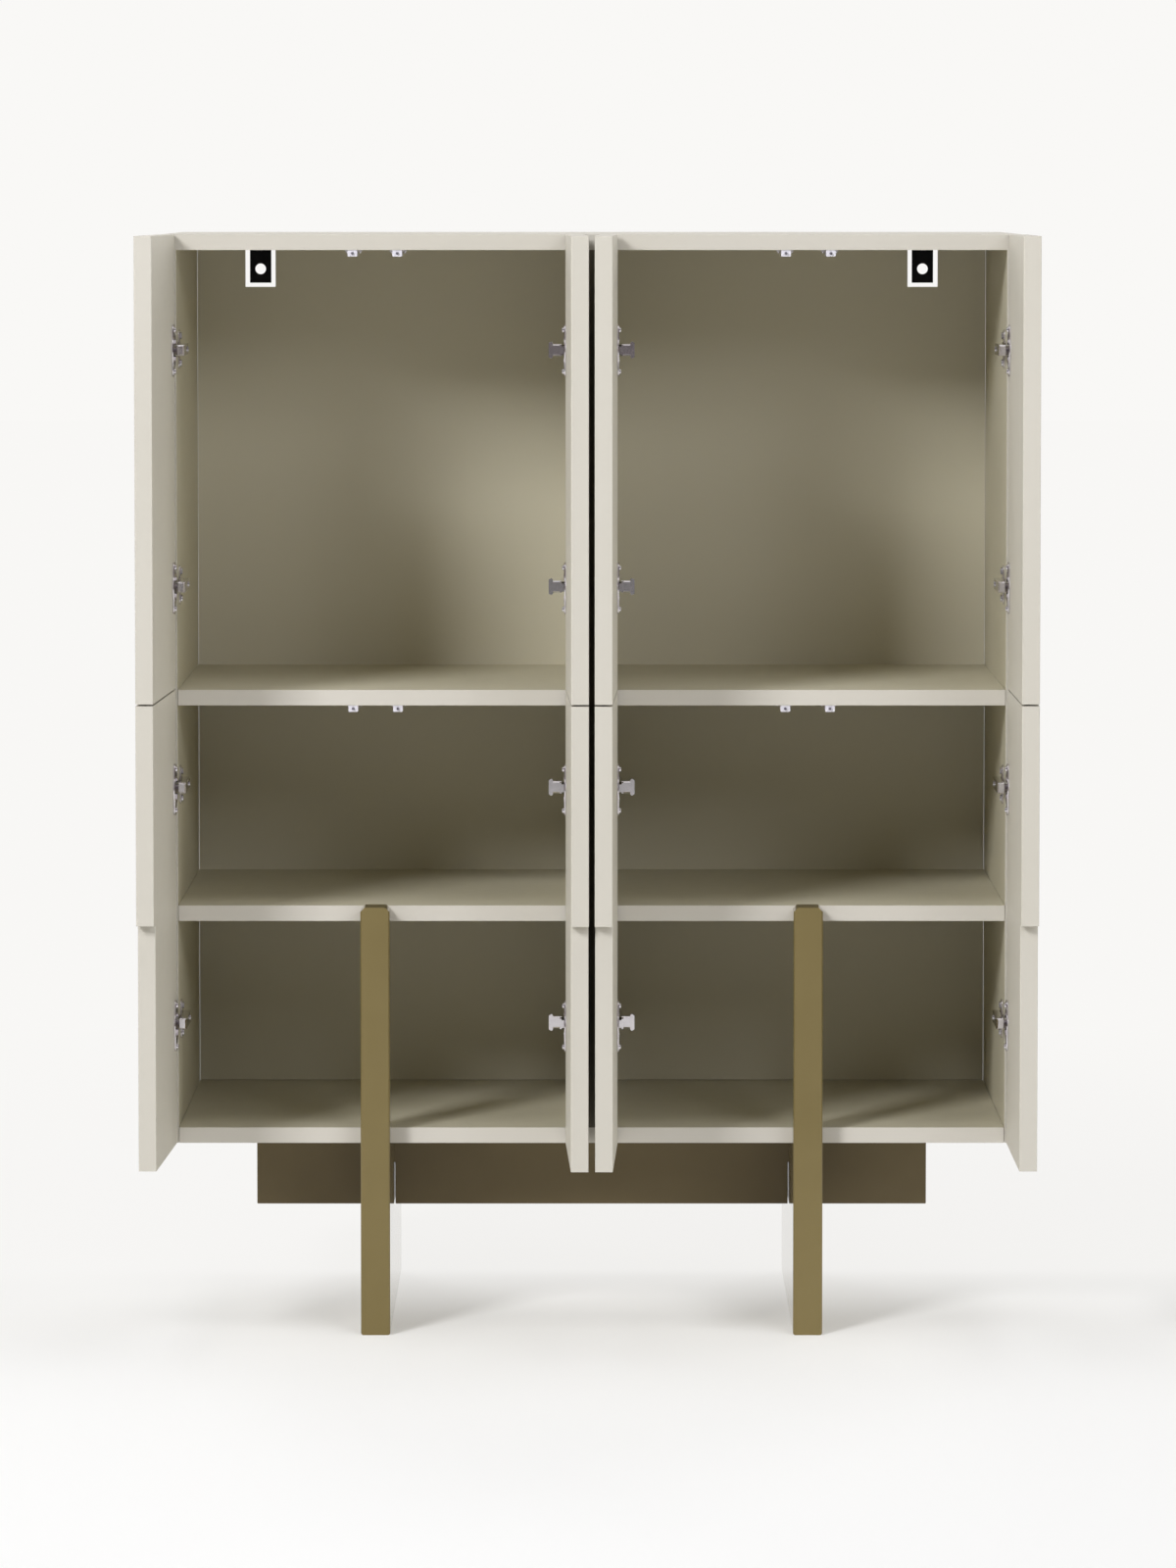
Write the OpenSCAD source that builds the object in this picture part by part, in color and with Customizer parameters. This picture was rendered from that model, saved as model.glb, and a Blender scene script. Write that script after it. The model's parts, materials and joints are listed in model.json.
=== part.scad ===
// Highboard with two columns of doors on a pair of slab legs.
// X runs to the right, Y from the front to the wall, Z up from the floor.
// The model rests with all eight doors open, as they hang when it is shown.

/* [Carcass] */
// Outer width of the carcass
carcass_w = 1000; // [800:5:1400]
// Height of the carcass without its legs
carcass_h = 1060; // [900:5:1300]
// Depth of the carcass without its doors
carcass_d = 420; // [340:5:520]
// Height of the carcass underside above the floor
underside = 220; // [160:5:300]
// Thickness of the side panels
side_t = 18; // [16:0.5:22]
// Thickness of the top, bottom and shelves
board_t = 18; // [16:0.5:22]
// Thickness of the centre partition
partition_t = 36; // [32:1:44]
// Thickness of the back panels
back_t = 8; // [5:0.5:12]
// Space left at each end of a shelf and of the bottom
board_gap = 0.5; // [0.2:0.1:0.8]
// Space left round each back panel
back_gap = 0.6; // [0.2:0.1:0.8]
// Height of the upper shelf's underside above the floor
upper_shelf_z = 732.5; // [650:0.5:800]
// Height of the middle shelf's underside above the floor
middle_shelf_z = 480.5; // [400:0.5:560]

/* [Doors] */
// Thickness of a door
door_t = 20; // [18:0.5:22]
// Space between two doors that meet on the partition
middle_gap = 6; // [4:0.5:8]
// Space between two doors that meet in one column
column_gap = 3; // [2:0.5:5]
// Space between an upper and a lower door
row_gap = 2; // [1:0.5:4]
// Space between a closed door and the carcass
door_gap = 3; // [2.8:0.1:4]
// Height of the joint between upper and lower doors
row_z = 752; // [700:1:780]
// Space that a lower door leaves under the carcass line
door_foot = 1; // [0.5:0.5:3]
// Space between a lower door's cut-out and the leg
notch_gap = 1.5; // [1:0.5:4]
// Radius along the upright edges of a door
door_edge_r = 1; // [0.5:0.25:1.5]
// Radius along the inner edge on the hinge side
hinge_edge_r = 2; // [1.75:0.25:2.5]
// Opening angle of the left outer doors as they hang
rest_left_outer = 92.4; // [90:0.1:94]
// Opening angle of the left inner doors as they hang
rest_left_inner = 91.7; // [90:0.1:91.8]
// Opening angle of the right inner doors as they hang
rest_right_inner = 91.6; // [90:0.1:91.8]
// Opening angle of the right outer doors as they hang
rest_right_outer = 90.2; // [90:0.1:94]

/* [Hinges] */
// Distance of a cup from the door's hinge edge
cup_edge = 3; // [3:0.1:3.5]
// Outer diameter of a cup
cup_d = 35; // [35:0.5:36]
// Depth of a cup in the door
cup_depth = 13.2; // [13.2:0.1:14]
// Wall of a cup
cup_wall = 0.8; // [0.6:0.1:0.9]
// Height of the plate round a cup
cup_plate_h = 60; // [58:1:64]
// Width of the plate round a cup
cup_plate_w = 38; // [38:1:42]
// Thickness of the plate round a cup
cup_plate_t = 2.4; // [1.2:0.1:2.4]
// Distance between the two screws of a cup
cup_screw_pitch = 48; // [45:1:52]
// Height of a hinge above an upper door's lower edge
upper_door_low_hinge = 118; // [90:1:160]
// Height of a hinge below an upper door's upper edge
upper_door_high_hinge = 134; // [90:1:160]
// Height of a hinge above a lower door's lower edge
lower_door_low_hinge = 140.5; // [90:0.5:180]
// Height of a hinge below a lower door's upper edge
lower_door_high_hinge = 114; // [90:1:160]
// Distance of the mounting plates' screws from the carcass front
plate_setback = 37; // [32:1:45]
// Distance between the two screws of a mounting plate
plate_screw_pitch = 32; // [30:1:36]
// Height of an outer door's arm, up and down
outer_arm_h = 12.8; // [11:0.2:14]
// Height of an inner door's arm at its front plate
inner_arm_h = 14; // [13:0.2:16]
// Distance of an outer door's arm from the side panel
outer_arm_rise = 10.2; // [9.8:0.1:11]
// Distance of an inner door's arm from the partition
inner_arm_rise = 18; // [17:0.5:19]

/* [Legs] */
// Thickness of a leg slab
leg_t = 34; // [28:1:45]
// How far a leg stands in front of the carcass
leg_reach = 38; // [30:1:50]
// How far a leg's front bar rises above the middle shelf
leg_rise = 1.5; // [0:0.5:10]
// Cut across the upper corners of a front bar
leg_corner = 5; // [2:0.5:8]
// Radius of the lower corners of a leg
leg_foot_r = 3; // [1:0.5:5]
// Chamfer along the front edges of a leg
leg_edge = 1.5; // [0.5:0.25:3]
// Length of the cross beam
beam_l = 797; // [700:1:900]
// Height of the cross beam
beam_h = 95; // [70:1:120]
// Depth of the cross beam
beam_d = 60; // [40:1:90]
// Distance of the cross beam behind the carcass front
beam_setback = 152; // [100:1:200]
// Height of the slot in the beam that a leg fills
beam_slot_h = 50; // [30:1:60]
// Space on each side of a leg in the beam's slot
slot_gap = 0.8; // [0.3:0.1:1.5]

/* [Catches] */
// Distance of a catch from the joint between two doors
catch_offset = 26; // [22:0.5:34]
// Width of a catch housing
catch_w = 11.2; // [10:0.2:13]
// Height of a catch housing
catch_h = 7.6; // [7:0.2:9]
// Length of a catch housing
catch_l = 50; // [45:1:60]
// Diameter of a plunger
plunger_d = 3; // [2.6:0.2:3.6]
// Length of a plunger
plunger_l = 24; // [22:1:28]

/* [Wall brackets] */
// Distance of each wall bracket's middle from the side panel
bracket_inset = 77.5; // [60:0.5:100]
// Width of a wall bracket
bracket_w = 26; // [22:1:32]
// How far a wall bracket hangs below the top
bracket_h = 44; // [38:1:50]
// Thickness of a wall bracket
bracket_t = 2.5; // [2:0.5:4]
// Length of a wall bracket under the top
bracket_foot = 40; // [36:1:60]
// Diameter of the hole for the wall screw
wall_hole_d = 13; // [8:0.5:14]
// Height of the wall hole below the top panel
wall_hole_drop = 27; // [24:0.5:29]
// Width of the cut-out in a back panel
cutout_w = 37; // [34:1:44]
// Depth of the cut-out in a back panel below the top panel
cutout_h = 49; // [45:1:56]

/* [Fixings] */
// Diameter of the dowels and leg studs
dowel_d = 8; // [6:0.5:10]
// Length of a dowel in a panel's face
dowel_in_face = 13; // [10:0.5:14]
// Length of a dowel in a board's end
dowel_in_end = 17; // [12:0.5:22]
// Length of a stud in a leg
stud_in_leg = 22; // [15:1:30]
// Distance of the front and rear dowels from the carcass edges
dowel_inset = 60; // [50:1:100]

/* [Hidden] */
$fn = 48;
fit = 0.05;             // radial space round a dowel, stud or screw
slide_fit = 0.1;        // radial space round a plunger or hinge pin
top_z = underside + carcass_h;
inner_x = carcass_w / 2 - side_t;
part_x = partition_t / 2;
board_d = carcass_d - back_t;
leaf_w = (carcass_w - middle_gap - 2 * column_gap) / 4; // width of a door
joint_x = middle_gap / 2 + leaf_w + column_gap / 2;
bracket_x = inner_x - bracket_inset;

// Hinge axes, measured from a door's hinge edge and from its inner face
outer_axis = [8, 8];
inner_axis = [11, 16];
open_reach = door_gap + inner_axis[1] - inner_axis[0] + leaf_w;
front_y = (open_reach - carcass_d) / 2;
back_y = front_y + carcass_d;

// Hinge cup
cup_r = cup_d / 2;
cup_u = cup_edge + cup_r;
cup_screw_lead = 6;     // a cup's screws lie this far past its middle
cup_screw_u = cup_u + cup_screw_lead;
plate_end_r = 8;        // round ends of the plate about its screws
swing_gap = 0.15;       // least space between the plate and the carcass as a door swings
cup_screw_r = 1.8;
cup_screw_head_r = 3.3;
cup_screw_head = 2.2;
head_gap = 0.03;        // space under a cup screw's head
cup_screw_taper = 0.8;  // a cup screw head's outer radius over its inner one
cup_screw_l = 12;
pin_r = 1.4;
pin_half = 9;

// Arm of an outer door
eye_r = 3;
eye_half = 5;
neck_l = 13;            // from the pin to the neck's end
neck_drop = 0.6;        // the neck's rear face lies this far in front of the pin's middle
neck_t = 3.1;
neck_lap = 1;           // the neck runs this far into the arm
arm_cut = 1.8;          // chamfer round the front of an arm
arm_end_cut = 2;        // chamfer at the rear of an arm
outer_foot_y = [8, 12]; // where an outer arm's underside starts to rise and meets its plate

// Arm of an inner door
link_reach = 4.95;      // the link's round end lies this far from the axis both ways
link_half_t = 0.95;
link_half = 4.5;
step_u = [20.8, 23];    // the riser that joins the link and the front plate
inner_arm_half = 6;     // half the height of the arm behind its front plate
front_plate_gap = 0.2;  // space between a shut door's cup plate and the front plate
front_plate_t = 2.2;
hook_over = 14;         // the hooked end lies this far beyond the arm's back
hook_w = 5;
hook_d = 5.7;
hook_half = 10;
hook_lap = 1;           // the front plate ends this far from the hooked end's outer edge
hook_corner = 1.8;      // cut of the hooked end's outer corners
hook_tip = 1.6;         // the tips lie this far from the hooked end's inner edge
slope_y = [6, 26];      // where the arm starts to slope down and where it ends
inner_foot_y = 15;

// Mounting plate
plate_t = 2;
rib_gap = 0.2;
plate_y0 = 16;
plate_l = 48;
plate_half = 8;
wing_half = 23;
wing_l = 12;
rib_inset = 2;
plate_screw_r = 2.5;
plate_screw_head_r = 4;
plate_screw_head = 2.3;
plate_screw_l = 12;
arm_screw_head_r = 3.4;
arm_screw_head = 1.2;
arm_screw_l = 5;
arm_screw_gap = 0.5;    // space below an arm screw's end
arm_web = 1.8;
arm_wall = 1.2;
arm_end_y = 70;
arm_screw_back = 18;

// Catch
catch_back = 1;
catch_round = 1.2;
ear_w = 19.6;
ear_l = 9;
ear_t = 2.4;
ear_inset = 1;          // the ears end this far from the housing's rear
ear_y = catch_l - ear_l - ear_inset;
ear_screw_r = 1.2;
ear_screw_head_r = 1.9;
ear_screw_head = 1.8;
ear_screw_l = 9;
ear_screw_x = 7.7;
tip_gap = 0.3;
plunger_push = 2;
plunger_nose = 0.6;

// Wall bracket screws
bracket_screws_y = [8, 22]; // from the bracket's front end
bracket_screw_r = 2.2;
bracket_screw_head_r = 4;
bracket_screw_head = 2.4;
bracket_screw_l = 14;
screw_head_taper = 0.7; // a countersunk head's lower radius over its upper one

// Doors, each with its name's side, kind, level and opening angle
OUTER = 0;
INNER = 1;
UPPER = 0;
LOWER = 1;

function axis_of(kind) = kind == OUTER ? outer_axis : inner_axis;
function door_z0(level) = level == UPPER ? row_z + row_gap / 2 : underside + door_foot;
function door_z1(level) = level == UPPER ? top_z : row_z - row_gap / 2;
function hinge_heights(level) = level == UPPER
    ? [door_z0(UPPER) + upper_door_low_hinge, door_z1(UPPER) - upper_door_high_hinge]
    : [door_z0(LOWER) + lower_door_low_hinge, door_z1(LOWER) - lower_door_high_hinge];
all_hinge_heights = concat(hinge_heights(LOWER), hinge_heights(UPPER));
function catch_z(level) = level == UPPER ? top_z - board_t : upper_shelf_z;
leg_top = middle_shelf_z + board_t + leg_rise;
function dowel_rows() = [front_y + dowel_inset, front_y + board_d - dowel_inset];
stud_rows = [front_y + dowel_inset, back_y - dowel_inset];

// Colours
LACQUER = [0.84, 0.82, 0.78];
BRONZE = [0.48, 0.42, 0.27];
DARK_BRONZE = [0.35, 0.30, 0.21];
NICKEL = [0.78, 0.77, 0.78];
BLACK = [0.08, 0.08, 0.08];
PALE_GREY = [0.83, 0.81, 0.82];
DARK_GREY = [0.30, 0.29, 0.30];
BEECH = [0.80, 0.66, 0.45];

// Shared shapes

module box(x0, x1, y0, y1, z0, z1) {
    translate([x0, y0, z0]) cube([x1 - x0, y1 - y0, z1 - z0]);
}

// A rod along X, Y or Z from a start point
module rod(start, direction, length, r) {
    turn = direction == "x" ? [0, 90, 0] : direction == "y" ? [-90, 0, 0] : [0, 0, 0];
    translate(start) rotate(turn) cylinder(r = r, h = length);
}

// The frame of a door in its column: X runs from the hinge edge along the closed door,
// and the closed door's inner face is at Y = 0
module column_frame(side, kind) {
    mirror([(side < 0) == (kind == OUTER) ? 0 : 1, 0, 0])
        translate([kind == OUTER ? -carcass_w / 2 : middle_gap / 2, front_y - door_gap, 0])
            children();
}

// Swings a closed door open about its hinge axis
module swung(kind, angle) {
    axis = axis_of(kind);
    translate([axis[0], -axis[1], 0]) rotate([0, 0, -angle])
        translate([-axis[0], axis[1], 0]) children();
}

// Places a shape at each hinge of one level
module at_hinges(level) {
    for (z = hinge_heights(level)) translate([0, 0, z]) children();
}

// Dowels in the carcass

// The dowels at one end of a board: sx is the side, face_x the face of the upright panel
module end_dowels(sx, face_x, outward, z, extra) {
    in_x = outward ? face_x - dowel_in_end : face_x - dowel_in_face;
    for (y = dowel_rows())
        translate([sx * in_x - (sx < 0 ? dowel_in_end + dowel_in_face : 0) - extra, y, z])
            rotate([0, 90, 0])
                cylinder(r = dowel_d / 2 + (extra > 0 ? fit : 0),
                         h = dowel_in_end + dowel_in_face + 2 * extra);
}

// The dowels between the partition and the top and bottom
module partition_dowels(extra) {
    r = dowel_d / 2 + (extra > 0 ? fit : 0);
    length = dowel_in_end + dowel_in_face + 2 * extra;
    for (y = dowel_rows()) {
        rod([0, y, top_z - board_t - dowel_in_end - extra], "z", length, r);
        rod([0, y, underside + board_t - dowel_in_face - extra], "z", length, r);
    }
}

module all_dowels(extra) {
    shelf_heights = [middle_shelf_z + board_t / 2, upper_shelf_z + board_t / 2];
    for (sx = [-1, 1]) {
        for (z = concat(shelf_heights, [underside + board_t / 2, top_z - board_t / 2]))
            end_dowels(sx, inner_x, true, z, extra);
        for (z = shelf_heights) end_dowels(sx, part_x, false, z, extra);
    }
    partition_dowels(extra);
}

// Studs that hold the legs

module leg_stud_set(extra) {
    r = dowel_d / 2 + (extra > 0 ? fit : 0);
    length = stud_in_leg + dowel_in_face + 2 * extra;
    for (sx = [-1, 1]) {
        for (y = stud_rows)
            rod([sx * joint_x, y, underside - stud_in_leg - extra], "z", length, r);
        for (z = [underside + board_t / 2, middle_shelf_z + board_t / 2])
            rod([sx * joint_x, front_y - stud_in_leg - extra, z], "y", length, r);
    }
}

// Screws of the mounting plates, in the frame of a door's column
module plate_screw_set(kind, r, head) {
    face = kind == OUTER ? side_t : part_x - middle_gap / 2;
    for (z = all_hinge_heights)
        for (dz = [-1, 1] * plate_screw_pitch / 2) {
            rod([face - plate_screw_l, door_gap + plate_setback, z + dz], "x",
                plate_screw_l + plate_t, r);
            if (head)
                rod([face + plate_t, door_gap + plate_setback, z + dz], "x",
                    plate_screw_head, plate_screw_head_r);
        }
}

module plate_screw_bores(side, kind) {
    column_frame(side, kind) plate_screw_set(kind, plate_screw_r + fit, false);
}

// Screws of the catches, in the frame of the carcass
module catch_screw_set(extra, head) {
    for (level = [UPPER, LOWER])
        for (x = catch_places())
            for (dx = [-1, 1] * ear_screw_x) {
                place = [x + dx, front_y + catch_back + ear_y + ear_l / 2, catch_z(level)];
                translate(place) translate([0, 0, -ear_t])
                    cylinder(r = ear_screw_r + extra, h = ear_t + ear_screw_l);
                if (head)
                    translate(place) translate([0, 0, -ear_t - ear_screw_head])
                        cylinder(r1 = ear_screw_head_r * screw_head_taper, r2 = ear_screw_head_r,
                                 h = ear_screw_head);
            }
}

function catch_places() = [for (sx = [-1, 1]) for (d = [-1, 1]) sx * joint_x + d * catch_offset];

// Carcass panels

module side_panel(side) {
    color(LACQUER) difference() {
        box(side > 0 ? inner_x : -carcass_w / 2, side > 0 ? carcass_w / 2 : -inner_x,
            front_y, back_y, underside, top_z);
        all_dowels(0.5);
        plate_screw_bores(side, OUTER);
    }
}

module top_panel() {
    color(LACQUER) difference() {
        box(-inner_x, inner_x, front_y, back_y, top_z - board_t, top_z);
        all_dowels(0.5);
        catch_screw_set(fit, false);
        bracket_screw_set(fit, false);
    }
}

module bottom_panel() {
    color(LACQUER) difference() {
        box(-inner_x + board_gap, inner_x - board_gap, front_y, back_y,
            underside, underside + board_t);
        all_dowels(0.5);
        leg_stud_set(0.5);
    }
}

module centre_partition() {
    color(LACQUER) difference() {
        box(-part_x, part_x, front_y, back_y, underside + board_t, top_z - board_t);
        all_dowels(0.5);
        for (side = [-1, 1]) plate_screw_bores(side, INNER);
    }
}

module back_panel(side) {
    x0 = part_x + back_gap;
    x1 = inner_x - back_gap;
    color(LACQUER) difference() {
        box(side > 0 ? x0 : -x1, side > 0 ? x1 : -x0, back_y - back_t, back_y,
            underside + board_t + back_gap, top_z - board_t - back_gap);
        box(side * bracket_x - cutout_w / 2, side * bracket_x + cutout_w / 2,
            back_y - back_t - 1, back_y + 1, top_z - board_t - cutout_h, top_z);
    }
}

module shelf(side, z) {
    x0 = part_x + board_gap;
    x1 = inner_x - board_gap;
    color(LACQUER) difference() {
        box(side > 0 ? x0 : -x1, side > 0 ? x1 : -x0, front_y, back_y - back_t, z, z + board_t);
        all_dowels(0.5);
        leg_stud_set(0.5);
        catch_screw_set(fit, false);
    }
}

module carcass_dowels() {
    color(BEECH) all_dowels(0);
}

// Legs and beam

// Front view of a leg: cut upper corners and round lower corners
module leg_front_outline() {
    half = leg_t / 2;
    for (sx = [-1, 1]) translate([sx * (half - leg_foot_r), leg_foot_r]) circle(leg_foot_r);
    translate([-half + leg_foot_r, 0]) square([leg_t - 2 * leg_foot_r, leg_foot_r]);
    polygon([[-half, leg_foot_r], [half, leg_foot_r], [half, leg_top - leg_corner],
             [half - leg_corner, leg_top], [-half + leg_corner, leg_top],
             [-half, leg_top - leg_corner]]);
}

// Side view of a leg: a slab under the carcass and a bar in front of it
module leg_side_outline() {
    bar = front_y - leg_reach;
    notch_z = underside - beam_h + beam_slot_h;
    notch_y = front_y + beam_setback;
    difference() {
        polygon([[bar, 0], [back_y, 0], [back_y, underside], [front_y, underside],
                 [front_y, leg_top], [bar, leg_top]]);
        translate([notch_y - slot_gap, notch_z])
            square([beam_d + 2 * slot_gap, underside - notch_z + 1]);
    }
}

module leg(side) {
    half = leg_t / 2;
    color(BRONZE) translate([side * joint_x, 0, 0]) difference() {
        intersection() {
            translate([0, back_y + 1, 0]) rotate([90, 0, 0])
                linear_extrude(height = carcass_d + leg_reach + 2) leg_front_outline();
            translate([-half, 0, 0]) rotate([90, 0, 90])
                linear_extrude(height = leg_t) leg_side_outline();
        }
        for (sx = [-1, 1])
            translate([sx * half, front_y - leg_reach, -1]) rotate([0, 0, 45])
                translate([-leg_edge, -leg_edge, 0] / sqrt(2))
                    cube([sqrt(2) * leg_edge, sqrt(2) * leg_edge, leg_top + 2]);
        translate([-side * joint_x, 0, 0]) leg_stud_set(0.5);
    }
}

module cross_beam() {
    y0 = front_y + beam_setback;
    z0 = underside - beam_h;
    slot_w = leg_t + 2 * slot_gap;
    color(DARK_BRONZE) difference() {
        box(-beam_l / 2, beam_l / 2, y0, y0 + beam_d, z0, underside);
        for (sx = [-1, 1])
            box(sx * joint_x - slot_w / 2, sx * joint_x + slot_w / 2,
                y0 - 1, y0 + beam_d + 1, z0 - 1, z0 + beam_slot_h);
    }
}

module leg_studs() {
    color(NICKEL) leg_stud_set(0);
}

// Wall brackets

module bracket_screw_set(extra, head) {
    for (sx = [-1, 1])
        for (dy = bracket_screws_y) {
            y = back_y - bracket_foot + dy;
            rod([sx * bracket_x, y, top_z - board_t - bracket_t], "z",
                bracket_t + bracket_screw_l, bracket_screw_r + extra);
            if (head)
                translate([sx * bracket_x, y, top_z - board_t - bracket_t - bracket_screw_head])
                    cylinder(r1 = bracket_screw_head_r * screw_head_taper, r2 = bracket_screw_head_r,
                             h = bracket_screw_head);
        }
}

module wall_bracket(side) {
    z1 = top_z - board_t;
    x0 = side * bracket_x - bracket_w / 2;
    color(BLACK) difference() {
        union() {
            box(x0, x0 + bracket_w, back_y - bracket_t, back_y, z1 - bracket_h, z1);
            box(x0, x0 + bracket_w, back_y - bracket_foot, back_y, z1 - bracket_t, z1);
        }
        rod([side * bracket_x, back_y - bracket_t - 1, z1 - wall_hole_drop], "y",
            bracket_t + 2, wall_hole_d / 2);
        bracket_screw_set(fit, false);
    }
}

module wall_bracket_screws() {
    color(BLACK) bracket_screw_set(0, true);
}

// Hinges

// A cup with its plate, its screws' holes and an open mouth, at the height Z = 0
module hinge_cup(kind) {
    difference() {
        union() {
            rod([cup_u, -cup_depth, 0], "y", cup_depth, cup_r);
            cup_plate(kind);
        }
        rod([cup_u, -cup_depth + cup_wall, 0], "y", cup_depth + cup_plate_t + 1,
            cup_r - cup_wall);
        for (z = [-1, 1] * cup_screw_pitch / 2)
            rod([cup_screw_u, -1, z], "y", cup_plate_t + 2, cup_screw_r + fit);
    }
    if (kind == OUTER)
        rod([outer_axis[0], -outer_axis[1], -pin_half], "z", 2 * pin_half, pin_r);
}

// The hinge edge of a cup's plate, set so that it swings clear of the carcass
function plate_u(kind) =
    axis_of(kind)[0] - sqrt(pow(axis_of(kind)[1] + door_gap - swing_gap, 2)
                            - pow(axis_of(kind)[1] + cup_plate_t, 2));

// The plate on the door's inner face, with round ends about its screws
module cup_plate(kind) {
    difference() {
        rotate([-90, 0, 0]) linear_extrude(height = cup_plate_t) union() {
            for (z = [-1, 1] * (cup_plate_h / 2 - plate_end_r))
                translate([cup_screw_u, z]) circle(plate_end_r);
            translate([cup_screw_u - plate_end_r, -cup_plate_h / 2 + plate_end_r])
                square([2 * plate_end_r, cup_plate_h - 2 * plate_end_r]);
            translate([cup_u, 0]) circle(cup_plate_w / 2);
        }
        box(-cup_d, plate_u(kind), -1, cup_plate_t + 1, -cup_plate_h, cup_plate_h);
    }
}

module cup_screws() {
    for (z = [-1, 1] * cup_screw_pitch / 2) {
        rod([cup_screw_u, -cup_screw_l, z], "y", cup_screw_l + cup_plate_t + head_gap,
            cup_screw_r);
        translate([cup_screw_u, cup_plate_t + head_gap, z]) rotate([-90, 0, 0])
            cylinder(r1 = cup_screw_head_r, r2 = cup_screw_head_r * cup_screw_taper,
                     h = cup_screw_head);
    }
}

// The recess for a cup and its screws in a door
module cup_recess() {
    rod([cup_u, -cup_depth - 0.2, 0], "y", cup_depth + 1, cup_r + fit);
    for (z = [-1, 1] * cup_screw_pitch / 2)
        rod([cup_screw_u, -cup_screw_l - 0.5, z], "y", cup_screw_l + 1, cup_screw_r + fit);
}

// Everything behind a face at the depth Y, with that face's upper and lower edges cut
module front_cut(y, half, cut) {
    translate([-carcass_w, 0, 0]) rotate([90, 0, 90]) linear_extrude(height = 2 * carcass_w)
        polygon([[y, -half + cut], [y + cut, -half], [y + carcass_d, -half],
                 [y + carcass_d, half], [y + cut, half], [y, half - cut]]);
}

// The channel under an arm, and the bore of its screw
module arm_channel(face, web_x, half) {
    box(face, web_x - arm_web, plate_y0 - 1, arm_end_y + 1, -half + arm_wall, half - arm_wall);
    rod([web_x - arm_web - 1, arm_end_y - arm_screw_back, 0], "x", arm_web + 2,
        plate_screw_r + fit);
}

// Arm of an outer door: an eye round the pin, a short neck and a channel along the panel
module outer_arm() {
    web_x = side_t + outer_arm_rise;
    foot_x = side_t + plate_t;
    half = outer_arm_h / 2;
    pin = [outer_axis[0], -outer_axis[1]];
    neck_x = pin[0] + neck_l;
    front = pin[1] - neck_drop - neck_t;
    difference() {
        union() {
            rod([pin[0], pin[1], -eye_half], "z", 2 * eye_half, eye_r);
            translate([0, 0, -eye_half]) linear_extrude(height = 2 * eye_half)
                polygon([pin + [0, eye_r], [neck_x, pin[1] - neck_drop], [neck_x, front],
                         pin - [0, eye_r]]);
            intersection() {
                translate([0, 0, -half]) linear_extrude(height = 2 * half)
                    polygon([[neck_x - neck_lap, front], [web_x - arm_cut, front],
                             [web_x, front + arm_cut], [web_x, arm_end_y - arm_end_cut],
                             [web_x - arm_end_cut, arm_end_y], [foot_x, arm_end_y],
                             [foot_x, outer_foot_y[1]], [neck_x - neck_lap, outer_foot_y[0]]]);
                front_cut(front, half, arm_cut);
            }
        }
        rod([pin[0], pin[1], -eye_half - 1], "z", 2 * eye_half + 2, pin_r + slide_fit);
        arm_channel(side_t, web_x, half);
    }
}

// Arm of an inner door: a narrow link in the cup, a stepped front plate with a wider
// outer edge, and a channel that slopes down to the partition
module inner_arm() {
    face = part_x - middle_gap / 2;
    web_x = face + inner_arm_rise;
    foot_x = face + plate_t;
    peak_x = web_x + hook_over;
    half = inner_arm_half;
    link = [inner_axis[0] + link_reach, -inner_axis[1] + link_reach];
    step_x0 = inner_axis[0] + step_u[0];
    step_x1 = inner_axis[0] + step_u[1];
    front = cup_plate_t + front_plate_gap;
    difference() {
        union() {
            rod([link[0], link[1], -link_half], "z", 2 * link_half, link_half_t);
            box(link[0], step_x1, link[1] - link_half_t, link[1] + link_half_t,
                -link_half, link_half);
            box(step_x0, step_x1, link[1] - link_half_t, front + front_plate_t, -half, half);
            intersection() {
                box(step_x0, peak_x - hook_lap, front, front + front_plate_t,
                    -inner_arm_h / 2, inner_arm_h / 2);
                front_cut(front, inner_arm_h / 2, arm_cut);
            }
            translate([peak_x - hook_w, front, 0]) rotate([-90, 0, 0])
                linear_extrude(height = hook_d) hook_outline();
            translate([0, 0, -half]) linear_extrude(height = 2 * half)
                polygon([[step_x0, front + front_plate_t / 2],
                         [peak_x - arm_end_cut, front + front_plate_t / 2],
                         [peak_x, front + slope_y[0]], [web_x, front + slope_y[1]],
                         [web_x, arm_end_y - arm_end_cut], [web_x - arm_end_cut, arm_end_y],
                         [foot_x, arm_end_y], [foot_x, inner_foot_y]]);
        }
        arm_channel(face, web_x, half);
    }
}

// Front view of the hooked end of an inner arm
module hook_outline() {
    shoulder = hook_half - hook_corner;
    polygon([[0, -shoulder], [hook_tip, -hook_half], [hook_w, -shoulder],
             [hook_w, shoulder], [hook_tip, hook_half], [0, shoulder]]);
}

module hinge_arms(side, kind) {
    color(NICKEL) column_frame(side, kind) for (z = all_hinge_heights) translate([0, 0, z])
        if (kind == OUTER) outer_arm(); else inner_arm();
}

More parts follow.
